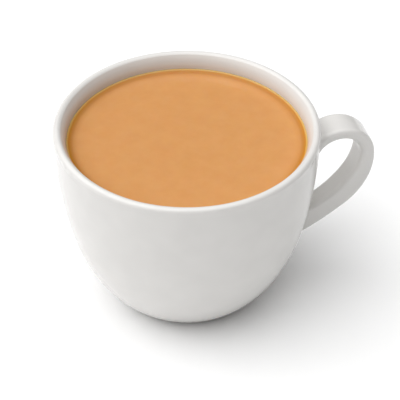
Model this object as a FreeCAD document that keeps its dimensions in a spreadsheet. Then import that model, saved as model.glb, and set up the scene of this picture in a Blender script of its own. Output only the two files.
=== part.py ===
import FreeCAD, Part
import os

import Sketcher
from FreeCAD import Vector

# A cup of tea with milk: a thick glazed porcelain cup with one strap handle, and
# the tea that fills it almost to the lip.
#
# Frame: +Z up, the handle points along +X, and the origin is the centre of the
# ring that the cup stands on. Everything is in millimetres, angles in degrees.

# ---------------------------------------------------------------- driving sizes
SIZES = {
    # overall
    "rim_radius": 48.0,        # widest point of the lip
    "cup_height": 73.0,        # standing plane to the top of the lip
    # lip and wall
    "lip_radius": 1.6,         # the lip is a full round of this radius
    "lip_neck": 2.2,           # from the lip's widest level down to the plain wall
    "lip_proud": 0.25,         # how far the lip stands out from the wall below it
    "lip_ease": 40.0,          # inside, the full round turns into an easy curve here
    "wall": 4.4,
    # the wall's outline from the neck down, as turns away from the vertical
    "side_turn": 13.5,         # the long gentle side ends at this slope
    "belly_turn": 33.5,        # the belly curve ends at this slope
    "heel_turn": 50.0,         # the heel curve ends at this slope, above the foot
    "belly_bend": 70.0,
    "heel_bend": 36.0,
    # foot ring and floor
    "foot_height": 1.3,
    "foot_inset": 1.7,         # the ring stands back from the heel's edge
    "foot_width": 3.4,
    "foot_round": 0.7,
    "foot_recess": 2.4,        # height of the unglazed underside inside the ring
    "floor_height": 6.4,       # inside floor above the standing plane
    "inner_corner": 16.0,      # bend between the inside floor and the wall
    # tea
    "tea_drop": 6.3,           # top of the lip down to the tea
    "tea_gap": 0.15,           # keeps the two solids from crossing
    # handle, outer line: three arcs, over the top, round the side and back down
    "grip_reach": 9.3,         # rim to the centre of the top bend
    "grip_drop": 23.6,         # top of the lip down to that centre
    "grip_bend": 13.95,        # outer radius of the top bend
    "side_from": 8.0,          # the side bend starts at this direction
    "back_from": -51.0,        # the long run back to the cup starts here
    "back_to": -80.0,
    "back_to_side": 4.08,      # radius of that run over the side bend's radius
    "root_height": 3.8,        # where the outer line ends, inside the foot
    # handle, inner line round the finger gap
    "strap": 4.25,             # thickness over the top of the bend
    "inner_rise": 1.2,         # the inner bend's centre is this much higher
    "inner_side_from": -8.0,
    "inner_back_from": -36.0,
    "inner_back_to": -86.0,
    "inner_back_to_side": 1.9,
    "inner_root_height": 23.6,
    "flare_from": 150.0,       # the strap thickens into the wall from here
    "flare_depth": 6.2,        # and the flare ends this far inside the wall's face
    "upper_from": 163.0,       # the outer line leaves the wall here
    # handle, seen from its end: a strap that narrows downwards
    "strap_wide": 13.4,        # width it would have at the level of the lip
    "strap_narrow": 5.7,       # width it would have at the standing plane
    "strap_round": 1.75,       # rounding along all four edges
    "root_round": 2.0,         # glaze-filled corner where the strap joins the wall
}

doc = FreeCAD.newDocument("tea_with_milk")
sheet = doc.addObject("Spreadsheet::Sheet", "Sizes")
for row, (name, value) in enumerate(SIZES.items(), start=1):
    sheet.set(f"A{row}", name)
    sheet.set(f"B{row}", str(value))
    sheet.setAlias(f"B{row}", name)
doc.recompute()


def number(expression):
    """What an expression is worth with the sheet as it stands."""
    return float(sheet.evalExpression(expression))


# ------------------------------------------------- the cup's outline, from the sizes
# The wall below the lip is three arcs, each tangent to the next. Their centres are
# worked out from the foot upwards, and the long side takes up the rest of the height.
LIP_Z = "(Sizes.cup_height - Sizes.lip_radius)"
NECK_Z = f"({LIP_Z} - Sizes.lip_neck)"
BELLY_Z = (
    "(Sizes.foot_height + Sizes.belly_bend * (sin(Sizes.belly_turn) - sin(Sizes.side_turn))"
    " + Sizes.heel_bend * (sin(Sizes.heel_turn) - sin(Sizes.belly_turn)))"
)
SIDE_BEND = f"(({NECK_Z} - {BELLY_Z}) / sin(Sizes.side_turn))"
SIDE_C = (f"(Sizes.rim_radius - Sizes.lip_proud - {SIDE_BEND})", NECK_Z)


def on_arc(centre, radius, angle):
    """The point of an arc in a direction, as two expressions."""
    return (
        f"({centre[0]} + {radius} * cos({angle}))",
        f"({centre[1]} + {radius} * sin({angle}))",
    )


def next_centre(centre, radius, following, angle):
    """The centre of the arc that carries on, tangent, where the first one ends."""
    return on_arc(centre, f"({radius} - {following})", angle)


BELLY_C = next_centre(SIDE_C, SIDE_BEND, "Sizes.belly_bend", "-Sizes.side_turn")
HEEL_C = next_centre(BELLY_C, "Sizes.belly_bend", "Sizes.heel_bend", "-Sizes.belly_turn")


def wall_line(depth):
    """Neck, side, belly and heel points of the wall, set in by a depth."""
    neck = on_arc(SIDE_C, f"({SIDE_BEND} - {depth})", "0")
    side = on_arc(SIDE_C, f"({SIDE_BEND} - {depth})", "-Sizes.side_turn")
    belly = on_arc(BELLY_C, f"(Sizes.belly_bend - {depth})", "-Sizes.belly_turn")
    heel = on_arc(HEEL_C, f"(Sizes.heel_bend - {depth})", "-Sizes.heel_turn")
    return neck, side, belly, heel


# --------------------------------------------------------------- sketch helpers
CLOCKWISE, COUNTER = -1, 1


def arc_between(start, end, radius, turn):
    """A circle's arc of less than half a turn from start to end."""
    chord = end - start
    rise = (radius**2 - (chord.Length / 2) ** 2) ** 0.5
    side = Vector(-chord.y, chord.x, 0).normalize()
    centre = start + chord / 2 + side * rise * turn
    circle = Part.Circle(centre, Vector(0, 0, 1), radius)
    first, last = (start, end) if turn == COUNTER else (end, start)
    return Part.ArcOfCircle(circle, circle.parameter(first), circle.parameter(last))


def pin(sketch, geometry, end, point, index):
    """Tie one end of a line or arc to the place that two expressions give."""
    axes = (("DistanceX", "x", -2), ("DistanceY", "z", -1))
    for (kind, letter, axis), expression in zip(axes, point):
        if expression == "0":
            sketch.addConstraint(Sketcher.Constraint("PointOnObject", geometry, end, axis))
            continue
        tie = Sketcher.Constraint(kind, -1, 1, geometry, end, number(expression))
        sketch.addConstraint(tie)
        sketch.renameConstraint(sketch.ConstraintCount - 1, f"{letter}{index}")
        sketch.setExpression(f"Constraints.{letter}{index}", expression)


def draw(sketch, start, steps):
    """A closed outline: each step is a line, or an arc with its radius and turn."""
    points = [start] + [step[0] for step in steps[:-1]]
    places = [Vector(number(x), number(z), 0) for x, z in points]
    starts, ends = [], []
    for index, step in enumerate(steps):
        here, there = places[index], places[(index + 1) % len(places)]
        if len(step) == 1:
            sketch.addGeometry(Part.LineSegment(here, there))
            starts.append(1)
            ends.append(2)
            continue
        radius, turn = step[1], step[2]
        sketch.addGeometry(arc_between(here, there, number(radius), turn))
        starts.append(1 if turn == COUNTER else 2)
        ends.append(2 if turn == COUNTER else 1)
        sketch.addConstraint(Sketcher.Constraint("Radius", index, number(radius)))
        sketch.renameConstraint(sketch.ConstraintCount - 1, f"bend{index}")
        sketch.setExpression(f"Constraints.bend{index}", radius)
    for index, point in enumerate(points):
        before = (index - 1) % len(steps)
        joined = Sketcher.Constraint("Coincident", before, ends[before], index, starts[index])
        sketch.addConstraint(joined)
        pin(sketch, index, starts[index], point, index)


def plane(body, role):
    """One of a body's own origin planes."""
    return next(item for item in body.Origin.OriginFeatures if item.Role == role)


def new_sketch(body, name, role):
    sketch = body.newObject("Sketcher::SketchObject", name)
    sketch.AttachmentSupport = [(plane(body, role), "")]
    sketch.MapMode = "FlatFace"
    return sketch


# ------------------------------------------------------------------------- cup
cup = doc.addObject("PartDesign::Body", "Cup")
cup.Label = "cup"

# The handle comes first. Its side view is one closed line: the outer arcs, the run
# into the wall, the inner arcs back round the finger gap, and the flare at the top.
# It starts well inside the cup, and is trimmed to the wall later.
DEEP_X = "(Sizes.rim_radius * 0.1)"
GRIP_C = ("(Sizes.rim_radius + Sizes.grip_reach)", "(Sizes.cup_height - Sizes.grip_drop)")
INNER_C = (GRIP_C[0], f"({GRIP_C[1]} + Sizes.inner_rise)")
INNER_BEND = "(Sizes.grip_bend - Sizes.strap - Sizes.inner_rise)"


def side_bend(centre, top, ratio, turns, end_z):
    """The side bend's radius that brings the line down to end_z in the same shape."""
    _, side_from, back_from, back_to = turns
    return (
        f"(({centre[1]} + {top} * sin({side_from}) - {end_z})"
        f" / (sin({side_from}) - sin({back_from})"
        f" + {ratio} * (sin({back_from}) - sin({back_to}))))"
    )


def grip_line(centre, top, ratio, turns, end_z):
    """The three tangent arcs of one side of the strap: radii and joining points."""
    first, side_from, back_from, back_to = turns
    side = side_bend(centre, top, ratio, turns, end_z)
    back = f"({side} * {ratio})"
    side_c = next_centre(centre, top, side, side_from)
    back_c = next_centre(side_c, side, back, back_from)
    joints = (
        on_arc(centre, top, first),
        on_arc(centre, top, side_from),
        on_arc(side_c, side, back_from),
        on_arc(back_c, back, back_to),
    )
    return (top, side, back), joints


outer_bends, outer = grip_line(
    GRIP_C, "Sizes.grip_bend", "Sizes.back_to_side",
    ("Sizes.upper_from", "Sizes.side_from", "Sizes.back_from", "Sizes.back_to"),
    "Sizes.root_height",
)
inner_bends, inner = grip_line(
    INNER_C, INNER_BEND, "Sizes.inner_back_to_side",
    ("Sizes.flare_from", "Sizes.inner_side_from", "Sizes.inner_back_from", "Sizes.inner_back_to"),
    "Sizes.inner_root_height",
)
# The flare leaves the inner bend along its tangent and ends inside the wall.
FLARE_X = "(Sizes.rim_radius - Sizes.lip_proud - Sizes.flare_depth)"
flare = (FLARE_X, f"({inner[0][1]} + ({inner[0][0]} - {FLARE_X}) / tan(Sizes.flare_from))")

grip = new_sketch(cup, "GripOutline", "XZ_Plane")
draw(grip, (DEEP_X, outer[0][1]), [
    (outer[0],),
    (outer[1], outer_bends[0], CLOCKWISE),
    (outer[2], outer_bends[1], CLOCKWISE),
    (outer[3], outer_bends[2], CLOCKWISE),
    ((DEEP_X, outer[3][1]),),
    ((DEEP_X, inner[3][1]),),
    (inner[3],),
    (inner[2], inner_bends[2], COUNTER),
    (inner[1], inner_bends[1], COUNTER),
    (inner[0], inner_bends[0], COUNTER),
    (flare,),
    ((DEEP_X, flare[1]),),
    ((DEEP_X, outer[0][1]),),
])
strap = cup.newObject("PartDesign::Pad", "Strap")
strap.Profile = grip
strap.SideType = "Symmetric"
strap.setExpression("Length", "Sizes.strap_wide * 1.5")

# Seen from its end the strap narrows downwards, so a wedge comes off each side.
WIDE = ("(Sizes.strap_wide / 2)", "Sizes.cup_height")
NARROW = ("(Sizes.strap_narrow / 2)", "0")
CUT_Y = "(Sizes.strap_wide * 2)"
wedge = new_sketch(cup, "StrapWedge", "YZ_Plane")
draw(wedge, WIDE, [(NARROW,), ((CUT_Y, "0"),), ((CUT_Y, "Sizes.cup_height"),), (WIDE,)])
narrowed = cup.newObject("PartDesign::Pocket", "StrapNarrowed")
narrowed.Profile = wedge
narrowed.SideType = "Symmetric"
narrowed.setExpression("Length", "Sizes.rim_radius * 6")
doc.recompute()
both_sides = cup.newObject("PartDesign::Mirrored", "StrapBothSides")
both_sides.Originals = [narrowed]
both_sides.MirrorPlane = (plane(cup, "XZ_Plane"), [""])
cup.Tip = both_sides
doc.recompute()


def long_edges(shape):
    """The curved edges along the strap, which bound its two sides."""
    names = []
    for index, edge in enumerate(shape.Edges, start=1):
        beside = [face for face in shape.Faces if any(edge.isSame(rim) for rim in face.Edges)]
        flat_side = any(abs(face.normalAt(0, 0).y) > 0.9 for face in beside)
        if flat_side and edge.Curve.TypeId != "Part::GeomLine":
            names.append(f"Edge{index}")
    return names


rounded = cup.newObject("PartDesign::Fillet", "StrapRounded")
rounded.Base = (both_sides, long_edges(both_sides.Shape))
rounded.setExpression("Radius", "Sizes.strap_round")
cup.Tip = rounded
doc.recompute()

# The strap is cut back to the middle of the wall, which it is then joined to.
neck, side, _, _ = wall_line("Sizes.wall / 2")
low = on_arc(BELLY_C, "(Sizes.belly_bend - Sizes.wall / 2)", "-Sizes.heel_turn * 0.8")
core = new_sketch(cup, "WallMiddle", "XZ_Plane")
draw(core, ("0", "Sizes.cup_height"), [
    ((neck[0], "Sizes.cup_height"),),
    (neck,),
    (side, f"({SIDE_BEND} - Sizes.wall / 2)", CLOCKWISE),
    (low, "(Sizes.belly_bend - Sizes.wall / 2)", CLOCKWISE),
    (("0", low[1]),),
    (("0", "Sizes.cup_height"),),
])
trimmed = cup.newObject("PartDesign::Groove", "StrapTrimmed")
trimmed.Profile = core
trimmed.ReferenceAxis = (core, ["V_Axis"])
trimmed.Angle = 360
cup.Tip = trimmed
doc.recompute()

# The bowl, thrown in one turn: lip, outside wall, foot ring, inside floor and wall.
neck, side, belly, heel = wall_line("0")
_, inner_side, _, _ = wall_line("Sizes.wall")
FOOT_X = f"({heel[0]} - Sizes.foot_inset)"
FOOT_IN_X = f"({FOOT_X} - Sizes.foot_width)"
CORNER_Z = "(Sizes.floor_height + Sizes.inner_corner)"
CORNER_REACH = "(Sizes.belly_bend - Sizes.wall - Sizes.inner_corner)"
CORNER_X = f"({BELLY_C[0]} + sqrt({CORNER_REACH}^2 - ({BELLY_C[1]} - {CORNER_Z})^2))"


def corner_end(depth):
    """Where the inside corner meets the belly curve, for a skin set in by a depth."""
    reach = f"(Sizes.belly_bend - Sizes.wall - {depth}) / {CORNER_REACH}"
    return (
        f"({BELLY_C[0]} + ({CORNER_X} - {BELLY_C[0]}) * {reach})",
        f"({BELLY_C[1]} + ({CORNER_Z} - {BELLY_C[1]}) * {reach})",
    )


def inside_wall(depth, height):
    """A point of the inside wall's side curve, set in by a depth, at a height."""
    bend = f"({SIDE_BEND} - {depth})"
    return (f"({SIDE_C[0]} + sqrt({bend}^2 - ({height} - {NECK_Z})^2))", height)


# Inside, the lip's round runs into a longer curve that meets the wall upright.
crest = ("(Sizes.rim_radius - Sizes.lip_radius)", "Sizes.cup_height")
EASE = "(180 - Sizes.lip_ease)"
EASE_BEND = (
    f"(({crest[0]} + Sizes.lip_radius * cos({EASE}) - {SIDE_C[0]} - {SIDE_BEND} + Sizes.wall)"
    f" / (1 + cos({EASE})))"
)
EASE_Z = f"({LIP_Z} + (Sizes.lip_radius - {EASE_BEND}) * sin({EASE}))"
ease_start = on_arc((crest[0], LIP_Z), "Sizes.lip_radius", EASE)
ease_end = inside_wall("Sizes.wall", EASE_Z)
profile = new_sketch(cup, "BowlOutline", "XZ_Plane")
draw(profile, crest, [
    (("Sizes.rim_radius", LIP_Z), "Sizes.lip_radius", CLOCKWISE),
    (neck,),
    (side, SIDE_BEND, CLOCKWISE),
    (belly, "Sizes.belly_bend", CLOCKWISE),
    (heel, "Sizes.heel_bend", CLOCKWISE),
    ((FOOT_X, heel[1]),),
    ((FOOT_X, "0"),),
    ((FOOT_IN_X, "0"),),
    ((FOOT_IN_X, "Sizes.foot_recess"),),
    (("0", "Sizes.foot_recess"),),
    (("0", "Sizes.floor_height"),),
    ((CORNER_X, "Sizes.floor_height"),),
    (corner_end("0"), "Sizes.inner_corner", COUNTER),
    (inner_side, "(Sizes.belly_bend - Sizes.wall)", COUNTER),
    (ease_end, f"({SIDE_BEND} - Sizes.wall)", COUNTER),
    (ease_start, EASE_BEND, CLOCKWISE),
    (crest, "Sizes.lip_radius", CLOCKWISE),
])
bowl = cup.newObject("PartDesign::Revolution", "Bowl")
bowl.Profile = profile
bowl.ReferenceAxis = (profile, ["V_Axis"])
bowl.Angle = 360
cup.Tip = bowl
doc.recompute()


def turns_about_z(face):
    """Whether a face belongs to the bowl, which is turned about Z."""
    surface = face.Surface
    axis = getattr(surface, "Axis", None) or getattr(surface, "Direction", Vector())
    return abs(axis.z) > 0.999


def root_edges(shape):
    """The edges where the strap's skin meets the bowl's."""
    names = []
    for index, edge in enumerate(shape.Edges, start=1):
        beside = [face for face in shape.Faces if any(edge.isSame(rim) for rim in face.Edges)]
        if len(beside) == 2 and sum(turns_about_z(face) for face in beside) == 1:
            names.append(f"Edge{index}")
    return names


def foot_edges(shape, near=1e-6):
    """The two circles that the cup stands between."""
    return [
        f"Edge{index}"
        for index, edge in enumerate(shape.Edges, start=1)
        if edge.BoundBox.ZMax < near
    ]


root = cup.newObject("PartDesign::Fillet", "StrapRoots")
root.Base = (bowl, root_edges(bowl.Shape))
root.setExpression("Radius", "Sizes.root_round")
cup.Tip = root
doc.recompute()

foot = cup.newObject("PartDesign::Fillet", "FootRounded")
foot.Base = (root, foot_edges(root.Shape))
foot.setExpression("Radius", "Sizes.foot_round")
cup.Tip = foot

# ------------------------------------------------------------------------- tea
tea = doc.addObject("PartDesign::Body", "Tea")
tea.Label = "tea"
TEA_Z = "(Sizes.cup_height - Sizes.tea_drop)"
SKIN = "(Sizes.wall + Sizes.tea_gap)"
TEA_EDGE = inside_wall(SKIN, TEA_Z)
TEA_FLOOR = "(Sizes.floor_height + Sizes.tea_gap)"
_, tea_side, _, _ = wall_line(SKIN)
fill = new_sketch(tea, "TeaOutline", "XZ_Plane")
draw(fill, ("0", TEA_Z), [
    (TEA_EDGE,),
    (tea_side, f"({SIDE_BEND} - {SKIN})", CLOCKWISE),
    (corner_end("Sizes.tea_gap"), f"(Sizes.belly_bend - {SKIN})", CLOCKWISE),
    ((CORNER_X, TEA_FLOOR), "(Sizes.inner_corner - Sizes.tea_gap)", CLOCKWISE),
    (("0", TEA_FLOOR),),
    (("0", TEA_Z),),
])
liquid = tea.newObject("PartDesign::Revolution", "TeaFill")
liquid.Profile = fill
liquid.ReferenceAxis = (fill, ["V_Axis"])
liquid.Angle = 360
tea.Tip = liquid
doc.recompute()

# ---------------------------------------------------------------------- output
for item in doc.Objects:
    faults = {"Invalid", "Error"} & set(item.State)
    assert not faults, f"{item.Name} is {faults}"

os.makedirs("parts", exist_ok=True)
for body in (cup, tea):
    shape = body.Shape
    assert not shape.isNull() and shape.isValid(), f"{body.Label} has no sound shape"
    assert len(shape.Solids) == 1, f"{body.Label} is not one solid"
    shape.exportStep(f"parts/{body.Label}.step")
    box = shape.optimalBoundingBox(False, False)
    print(f"{body.Label}: {shape.Volume / 1000:.1f} cm3, {box.XLength:.1f} x {box.YLength:.1f}"
          f" x {box.ZLength:.1f} mm, x {box.XMin:.1f} to {box.XMax:.1f}")
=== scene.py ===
# %% [markdown]
# # A cup of tea with milk
# The object is a thick glazed porcelain cup with a strap handle, filled almost to the
# lip. The porcelain already has its true shape in the CAD frame, so it only needs its
# glaze. The tea needs more than its CAD solid: a liquid climbs the wall that holds it,
# so its surface is modelled again with that thin rim. The frame comes first, because
# every place below is read from it.

import math

import bmesh
import bpy
import numpy as np
from mathutils import Matrix, Vector


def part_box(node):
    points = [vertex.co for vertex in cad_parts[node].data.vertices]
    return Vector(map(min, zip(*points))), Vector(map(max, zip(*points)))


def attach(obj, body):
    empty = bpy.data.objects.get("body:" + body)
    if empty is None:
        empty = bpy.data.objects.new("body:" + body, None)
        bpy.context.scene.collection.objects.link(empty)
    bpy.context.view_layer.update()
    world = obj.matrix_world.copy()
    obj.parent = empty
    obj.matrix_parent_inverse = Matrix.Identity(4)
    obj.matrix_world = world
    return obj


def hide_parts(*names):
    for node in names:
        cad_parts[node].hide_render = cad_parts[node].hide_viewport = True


MM = 0.001

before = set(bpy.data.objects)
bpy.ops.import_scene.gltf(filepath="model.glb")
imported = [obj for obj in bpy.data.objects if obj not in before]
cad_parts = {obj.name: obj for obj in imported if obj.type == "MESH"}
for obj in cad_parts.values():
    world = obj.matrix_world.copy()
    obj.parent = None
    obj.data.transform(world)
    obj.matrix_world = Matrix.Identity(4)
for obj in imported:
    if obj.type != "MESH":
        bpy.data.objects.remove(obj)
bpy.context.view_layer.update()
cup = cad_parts["cup"]
cad_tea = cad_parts["tea"]
cup_low, cup_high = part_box("cup")
tea_low, tea_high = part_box("tea")
LIP_TOP = cup_high.z
TEA_LEVEL = tea_high.z
print(f"the cup is {(cup_high.x - cup_low.x) / MM:.0f} mm long and {LIP_TOP / MM:.0f} mm high,")
print(f"and {(tea_high.z - tea_low.z) / MM:.0f} mm of tea stands", end=" ")
print(f"{(LIP_TOP - TEA_LEVEL) / MM:.1f} mm below the lip")

# %% [markdown]
# ## Colours and nodes
# A colour picked from a real thing is an sRGB value, while the shader works with linear
# light, so one function turns the first into the second. A second small function adds a
# node, gives it its settings and joins it up, which keeps each material down to the
# lines that say something about the material. A third starts an empty material.

# %% Three helpers for materials


def linear(hex_colour):
    """The linear colour, with full alpha, of an sRGB colour such as "f4f1ea"."""
    channels = [int(hex_colour[at : at + 2], 16) / 255 for at in (0, 2, 4)]
    steps = [c / 12.92 if c <= 0.04045 else ((c + 0.055) / 1.055) ** 2.4 for c in channels]
    return (*steps, 1.0)


def add(tree, kind, settings=None, inputs=None, stops=()):
    """A new node. An input takes a plain value, or the output that feeds it.

    stops are a colour ramp's marks, (position, linear colour): both ends, then the rest.
    """
    node = tree.nodes.new(kind)
    for name, value in (settings or {}).items():
        setattr(node, name, value)
    for name, value in (inputs or {}).items():
        if isinstance(value, bpy.types.NodeSocket):
            tree.links.new(value, node.inputs[name])
        else:
            node.inputs[name].default_value = value
    for index, (position, colour) in enumerate(stops):
        marks = node.color_ramp.elements
        mark = marks[index] if index < 2 else marks.new(position)
        mark.position = position
        mark.color = colour
    return node


def new_material(name):
    """An empty node material and its tree."""
    material = bpy.data.materials.new(name)
    material.use_nodes = True
    material.node_tree.nodes.clear()
    return material, material.node_tree


print("the white of the glaze, #e2e0dd, is", [round(c, 3) for c in linear("e2e0dd")])

# %% [markdown]
# ## Glazed porcelain
# The cup is porcelain: white clay, fired once, dipped in clear glaze and fired again at
# about 1300 degrees. The glaze is a glass about 0.15 mm thick with an IOR near 1.5. It
# flows a little before it sets, so it is smooth but not flat: it has long, very shallow
# waves, which the eye reads as soft, slightly wandering highlights. The white under it
# isn't quite even either, because the glaze pools by fractions of a millimetre. The foot
# ring is wiped clean before firing, or it would stick to the kiln shelf, so it shows
# bare, matt, slightly darker clay. Two materials would need a cut in the mesh along that
# edge, so one material does both, told apart by height.

# %% The porcelain's finish
GLAZE_WAVE = 9 * MM        # length of the glaze's shallow waves
WAVE_DEPTH = 0.25 * MM
WAVE_STRENGTH = 0.12
GLAZE_RIPPLE = 1.6 * MM    # finer orange peel, drawn as coarse as it needs to be to show
RIPPLE_DEPTH = 0.05 * MM
RIPPLE_STRENGTH = 0.05
GLAZE_TONES = ((0.3, "dfddda"), (0.7, "e2e0dd"))    # where the glaze is thick, and thin
CLAY_TONES = ((0.35, "cfc6b8"), (0.65, "ddd5c9"))   # the bare clay's grain
BARE_BELOW = 0.9 * MM      # the foot ring is bare up to this height
WIPED_EDGE = 0.15 * MM     # and the glaze thins out over this
GLAZE_IOR = 1.5
GLAZE_ROUGHNESS = 0.16
CLAY_ROUGHNESS = 0.62


def glazed_porcelain():
    material, tree = new_material("glazed porcelain")
    place = add(tree, "ShaderNodeNewGeometry").outputs["Position"]
    height = add(tree, "ShaderNodeSeparateXYZ", inputs={"Vector": place}).outputs["Z"]
    wave = add(tree, "ShaderNodeTexNoise", inputs={
        "Vector": place, "Scale": 1 / GLAZE_WAVE, "Detail": 1.0})
    ripple = add(tree, "ShaderNodeTexNoise", inputs={
        "Vector": place, "Scale": 1 / GLAZE_RIPPLE, "Detail": 2.0})
    tone = add(tree, "ShaderNodeValToRGB", inputs={"Fac": wave.outputs["Fac"]},
               stops=[(at, linear(tone)) for at, tone in GLAZE_TONES])
    grain = add(tree, "ShaderNodeValToRGB", inputs={"Fac": ripple.outputs["Fac"]},
                stops=[(at, linear(tone)) for at, tone in CLAY_TONES])
    bare = add(tree, "ShaderNodeMapRange", inputs={
        "Value": height, "From Min": BARE_BELOW, "From Max": BARE_BELOW - WIPED_EDGE})
    colour = add(tree, "ShaderNodeMix", {"data_type": "RGBA"}, {
        "Factor": bare.outputs["Result"], "A": tone.outputs["Color"],
        "B": grain.outputs["Color"]})
    rough = add(tree, "ShaderNodeMapRange", inputs={
        "Value": bare.outputs["Result"], "To Min": GLAZE_ROUGHNESS, "To Max": CLAY_ROUGHNESS})
    long_bump = add(tree, "ShaderNodeBump", inputs={
        "Height": wave.outputs["Fac"], "Strength": WAVE_STRENGTH, "Distance": WAVE_DEPTH})
    bump = add(tree, "ShaderNodeBump", inputs={
        "Height": ripple.outputs["Fac"], "Strength": RIPPLE_STRENGTH,
        "Distance": RIPPLE_DEPTH, "Normal": long_bump.outputs["Normal"]})
    shader = add(tree, "ShaderNodeBsdfPrincipled", inputs={
        "Base Color": colour.outputs["Result"], "Roughness": rough.outputs["Result"],
        "IOR": GLAZE_IOR, "Normal": bump.outputs["Normal"]})
    add(tree, "ShaderNodeOutputMaterial", inputs={"Surface": shader.outputs["BSDF"]})
    return material


cup.data.materials.clear()
cup.data.materials.append(glazed_porcelain())
print("the cup wears", cup.data.materials[0].name)

# %% [markdown]
# ## The tea, up the wall
# The tea fills the cup, so its outside is the inside of the wall. That line could be
# drawn again here, but it is already in the CAD solid of the tea, so it is read from
# there, and follows if the cup changes. The CAD solid ends a hair short of the wall.
# Here the line is pushed just into the wall, so that no gap can show.

# %% The line up the wall
INTO_WALL = 0.3 * MM
BELOW_CAD = 0.4 * MM       # the level part lies this far below the CAD surface
FLAT_LEVEL = TEA_LEVEL - BELOW_CAD
RISE = 1.0 * MM            # how far the tea climbs the wall
WALL_RINGS = 40
FLOOR_SHARE = 0.35         # nearer the axis than this share of the radius is the floor
SURFACE_SKIN = 0.01 * MM   # corners closer to the surface than this belong to it


def wall_outline():
    """(radius, height) pairs up the inside of the wall, read from the CAD tea."""
    corners = np.array([v.co for v in cad_tea.data.vertices])
    radii = np.hypot(corners[:, 0], corners[:, 1])
    below_surface = corners[:, 2] < TEA_LEVEL - SURFACE_SKIN
    side = (radii > FLOOR_SHARE * radii.max()) & below_surface
    order = np.argsort(corners[side, 2])
    heights, reaches = corners[side, 2][order], radii[side][order]
    levels = np.linspace(heights[0], FLAT_LEVEL + RISE, WALL_RINGS)
    return [(float(np.interp(z, heights, reaches)) + INTO_WALL, float(z)) for z in levels]


up_the_wall = wall_outline()
TEA_EDGE = up_the_wall[-1][0]
print(f"the tea is {2 * TEA_EDGE / MM:.1f} mm across at its rim")

# %% [markdown]
# ## The tea's surface
# Tea wets glazed porcelain, so it climbs the wall in a thin curved rim, the meniscus.
# Away from the wall its height falls off by the same share in each step, and the length
# of that step is 1 to 2 mm for a milky drink. The rings lie close together near the
# wall, where the curve is, and far apart where the surface is level.

# %% The line across the surface
CAPILLARY = 1.3 * MM       # the rise fades over this distance
MENISCUS_SPAN = 6          # and is gone after this many of them
MENISCUS_RINGS = 24
LEVEL_RINGS = 18


def surface_outline():
    """From the wall in to the centre: the meniscus, then the level surface."""
    steps = np.linspace(0, MENISCUS_SPAN, MENISCUS_RINGS + 1)[1:]
    near = [CAPILLARY * step for step in steps]
    far = [float(r) for r in np.linspace(near[-1], TEA_EDGE, LEVEL_RINGS + 2)[1:-1]]
    return [
        (TEA_EDGE - inward, FLAT_LEVEL + RISE * math.exp(-inward / CAPILLARY))
        for inward in near + far
    ]


across = surface_outline()
print(f"the meniscus climbs {RISE / MM:.1f} mm, in {MENISCUS_RINGS} rings")

# %% [markdown]
# ## Turning the tea
# A liquid at rest in a round cup is round too, so the outline is turned about the cup's
# axis, as a potter's profile is. A Screw modifier would do the same, but building the
# rings by hand lets both ends close at one point on the axis, which leaves no hole.

# %% The turned tea
ROUND_STEPS = 192


def turned(name, outline):
    """A closed mesh turned about Z from an outline; both its ends close at the axis."""
    mesh = bmesh.new()
    angles = [2 * math.pi * step / ROUND_STEPS for step in range(ROUND_STEPS)]
    rings = [
        [mesh.verts.new((radius * math.cos(a), radius * math.sin(a), z)) for a in angles]
        for radius, z in outline
    ]
    for lower, upper in zip(rings, rings[1:]):
        for step in range(ROUND_STEPS):
            after = (step + 1) % ROUND_STEPS
            mesh.faces.new((lower[step], lower[after], upper[after], upper[step]))
    for ring, (_, z) in ((rings[0], outline[0]), (rings[-1], outline[-1])):
        middle = mesh.verts.new((0, 0, z))
        for step in range(ROUND_STEPS):
            mesh.faces.new((ring[step], ring[(step + 1) % ROUND_STEPS], middle))
    bmesh.ops.recalc_face_normals(mesh, faces=mesh.faces)
    data = bpy.data.meshes.new(name)
    mesh.to_mesh(data)
    mesh.free()
    data.shade_smooth()
    piece = bpy.data.objects.new(name, data)
    bpy.context.scene.collection.objects.link(piece)
    return piece


milky_tea = turned("milky_tea", up_the_wall + across)
print("the tea has", len(milky_tea.data.polygons), "faces")

# %% [markdown]
# ## The tea's finish
# Black tea with milk is an emulsion: tiny fat drops scatter light all through it, so it
# looks solid, but light still travels a few millimetres inside and comes out warmer.
# That is subsurface scattering, and it is why the part in the wall's shade glows brown
# and not grey. Towards the wall the tea deepens to amber. This is partly its own deeper
# colour at the meniscus and partly painted shade: a darker ring, all round, that stands in
# for the shade the wall casts on the tea. Where the meniscus thins to nothing the white
# wall shows through and the edge turns golden. A colour ramp over the distance from the
# axis gives that edge. The surface carries a very faint mottling, of fat that has begun to
# gather. The IOR is a little above water's 1.33, for the sugar and fat in it, and a still
# liquid is smooth.

# %% The tea's material
TEA_IOR = 1.34
TEA_ROUGHNESS = 0.12
MOTTLE = 7 * MM
TEA_TONES = ((0.3, "cc9259"), (0.7, "d0985f"))
EDGE_WIDTH = 4.2 * MM      # the amber edge's width, measured in from the wall
# From 0, where the amber edge starts, to 1, at the wall: how strong it is, and its colour.
EDGE_STRENGTHS = ((0.0, 0.0), (0.85, 1.0), (0.45, 0.3))
# The darker stops, b27022 and c4832f, are partly the tea's deeper colour and partly painted
# shade: the wall's shade on the tea, painted as a darker ring all round.
EDGE_TONES_AND_SHADE = ((0.0, "c98b45"), (1.0, "dfb067"), (0.6, "b27022"), (0.88, "c4832f"))
SCATTERED = 0.5            # the share of the light that goes in and comes out again
LIGHT_TRAVEL = 2.0 * MM    # how far it wanders inside, and the shares of that in
TRAVEL_SHARES = (1.0, 0.45, 0.15)  # red, green and blue


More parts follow.
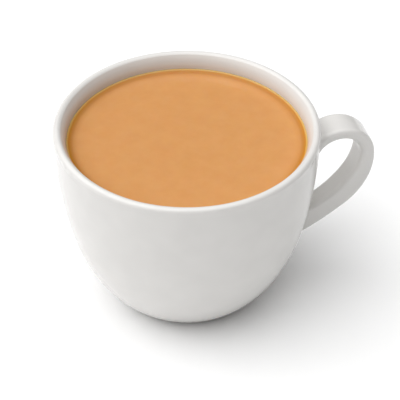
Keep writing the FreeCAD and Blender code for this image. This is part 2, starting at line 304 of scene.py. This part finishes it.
def tea_with_milk():
    material, tree = new_material("tea with milk")
    place = add(tree, "ShaderNodeNewGeometry").outputs["Position"]
    level = add(tree, "ShaderNodeVectorMath", {"operation": "MULTIPLY"}, {
        0: place, 1: (1, 1, 0)}).outputs["Vector"]
    reach = add(tree, "ShaderNodeVectorMath", {"operation": "LENGTH"}, {0: level})
    mottle = add(tree, "ShaderNodeTexNoise", inputs={
        "Vector": level, "Scale": 1 / MOTTLE, "Detail": 4.0, "Roughness": 0.6})
    body = add(tree, "ShaderNodeValToRGB", inputs={"Fac": mottle.outputs["Fac"]},
               stops=[(at, linear(tone)) for at, tone in TEA_TONES])
    wall_radius = TEA_EDGE - INTO_WALL
    edge = add(tree, "ShaderNodeMapRange", inputs={
        "Value": reach.outputs["Value"], "From Min": wall_radius - EDGE_WIDTH,
        "From Max": wall_radius})
    strength = add(tree, "ShaderNodeValToRGB", inputs={"Fac": edge.outputs["Result"]},
                   stops=[(at, (share, share, share, 1)) for at, share in EDGE_STRENGTHS])
    # The amber ring near the wall: partly the tea's own colour, partly painted shade of the
    # wall.
    amber_and_shade = add(tree, "ShaderNodeValToRGB", inputs={"Fac": edge.outputs["Result"]},
                stops=[(at, linear(tone)) for at, tone in EDGE_TONES_AND_SHADE])
    colour = add(tree, "ShaderNodeMix", {"data_type": "RGBA"}, {
        "Factor": strength.outputs["Color"], "A": body.outputs["Color"],
        "B": amber_and_shade.outputs["Color"]})
    shader = add(tree, "ShaderNodeBsdfPrincipled", inputs={
        "Base Color": colour.outputs["Result"], "Roughness": TEA_ROUGHNESS, "IOR": TEA_IOR,
        "Subsurface Weight": SCATTERED, "Subsurface Scale": LIGHT_TRAVEL,
        "Subsurface Radius": TRAVEL_SHARES})
    add(tree, "ShaderNodeOutputMaterial", inputs={"Surface": shader.outputs["BSDF"]})
    return material


milky_tea.data.materials.append(tea_with_milk())
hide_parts("tea")
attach(milky_tea, "root")
print("the tea wears", milky_tea.data.materials[0].name)

# %% [markdown]
# ## The floor
# The cup stands on a plain sweep of matt white paper. A sweep is wide enough that its
# edges never come into view, so one large square does. It glows very slightly, for the
# little light that also comes up through the paper.

# %% The white sweep
FLOOR_HALF = 1.5
PAPER_ROUGHNESS = 0.9
PAPER_SHINE = 0.1
SWEEP_GLOW = 0.02


def white_sweep():
    data = bpy.data.meshes.new("white_sweep")
    near, far = -FLOOR_HALF, FLOOR_HALF
    corners = [(near, near, 0), (far, near, 0), (far, far, 0), (near, far, 0)]
    data.from_pydata(corners, [], [(0, 1, 2, 3)])
    floor = bpy.data.objects.new("white_sweep", data)
    bpy.context.scene.collection.objects.link(floor)
    material, tree = new_material("white paper")
    shader = add(tree, "ShaderNodeBsdfPrincipled", inputs={
        "Base Color": linear("fafafa"), "Roughness": PAPER_ROUGHNESS,
        "Specular IOR Level": PAPER_SHINE,
        "Emission Color": linear("ffffff"), "Emission Strength": SWEEP_GLOW})
    add(tree, "ShaderNodeOutputMaterial", inputs={"Surface": shader.outputs["BSDF"]})
    data.materials.append(material)


white_sweep()
print(f"the sweep is {2 * FLOOR_HALF:.0f} m square")

# %% [markdown]
# ## The light
# A light tent is white cloth all round, lit from outside by three large soft lamps. One
# hangs overhead, one stands to the left and a little in front, and one to the left and
# behind. From inside, each is a glow on the cloth that is brightest in one direction and
# fades smoothly round it, so the glaze shows no hard-edged lamp. Area lamps would show
# their edges in the glaze, so the glows are in the world shader. Each is the cosine of
# the angle to its middle, raised to a power: the higher the power, the smaller the glow.
# The shader adds them up, and reads nothing but the direction that the light comes from.
# Left of the cup is bright and right of it is not, which models the round body and gives
# one soft shadow.

# %% The light tent
GLOWS = {                  # direction round and up in degrees, strength, power
    "overhead": (0, 90, 3.0, 5),
    "front left": (200, 52, 2.8, 10),
    "back left": (145, 40, 2.5, 10),
}


def light_tent():
    world = bpy.data.worlds.new("light_tent")
    world.use_nodes = True
    tree = world.node_tree
    tree.nodes.clear()
    direction = add(tree, "ShaderNodeTexCoord").outputs["Generated"]
    total = 0.0
    for round_angle, up_angle, strength, power in GLOWS.values():
        turn, lift = math.radians(round_angle), math.radians(up_angle)
        level = math.cos(lift)
        middle = (math.cos(turn) * level, math.sin(turn) * level, math.sin(lift))
        cosine = add(tree, "ShaderNodeVectorMath", {"operation": "DOT_PRODUCT"}, {
            0: direction, 1: middle})
        facing = add(tree, "ShaderNodeMath", {"operation": "MAXIMUM"}, {
            0: cosine.outputs["Value"], 1: 0.0})
        glow = add(tree, "ShaderNodeMath", {"operation": "POWER"}, {
            0: facing.outputs["Value"], 1: power})
        added = add(tree, "ShaderNodeMath", {"operation": "MULTIPLY_ADD"}, {
            0: glow.outputs["Value"], 1: strength, 2: total})
        total = added.outputs["Value"]
    light = add(tree, "ShaderNodeBackground", inputs={"Strength": total})
    add(tree, "ShaderNodeOutputWorld", inputs={"Surface": light.outputs["Background"]})
    bpy.context.scene.world = world


light_tent()
bpy.context.scene.view_settings.view_transform = "Standard"
print("the tent glows", ", ".join(GLOWS))

# %% [markdown]
# ## The camera
# A short telephoto lens from 0.6 m, 37 degrees above the level, turned so that the
# handle points right and a little away. It aims just below the lip's centre and leaves
# the cup slightly high in the frame, with room for its shadow.

# %% The camera
CAMERA_DISTANCE = 0.6
CAMERA_ABOVE = math.radians(37.1)
CAMERA_ROUND = math.radians(15)
TILT_DOWN = math.radians(2.435)
TURN_RIGHT = math.radians(0.445)
LENS = 150.7               # focal length in mm, on a sensor
SENSOR_WIDTH = 36          # of this width in mm
NEAREST = 0.01             # nothing nearer than this is drawn
LIP_ROUND = 1.6 * MM       # the lip's middle is this far below its top


def place_camera():
    lip_centre = Vector((0, 0, LIP_TOP - LIP_ROUND))
    level = math.cos(CAMERA_ABOVE)
    away = Vector((-math.sin(CAMERA_ROUND) * level, -math.cos(CAMERA_ROUND) * level,
                   math.sin(CAMERA_ABOVE)))
    place = lip_centre + CAMERA_DISTANCE * away
    aim = (lip_centre - place).to_track_quat("-Z", "Y").to_matrix()
    turn = Matrix.Rotation(-TURN_RIGHT, 3, "Y") @ Matrix.Rotation(-TILT_DOWN, 3, "X")
    data = bpy.data.cameras.new("camera")
    data.lens = LENS
    data.sensor_width = SENSOR_WIDTH
    data.clip_start = NEAREST
    camera = bpy.data.objects.new("camera", data)
    camera.matrix_world = Matrix.Translation(place) @ (aim @ turn).to_4x4()
    bpy.context.scene.collection.objects.link(camera)
    bpy.context.scene.camera = camera
    return camera


camera = place_camera()
print("the camera stands at", [round(c, 3) for c in camera.location])
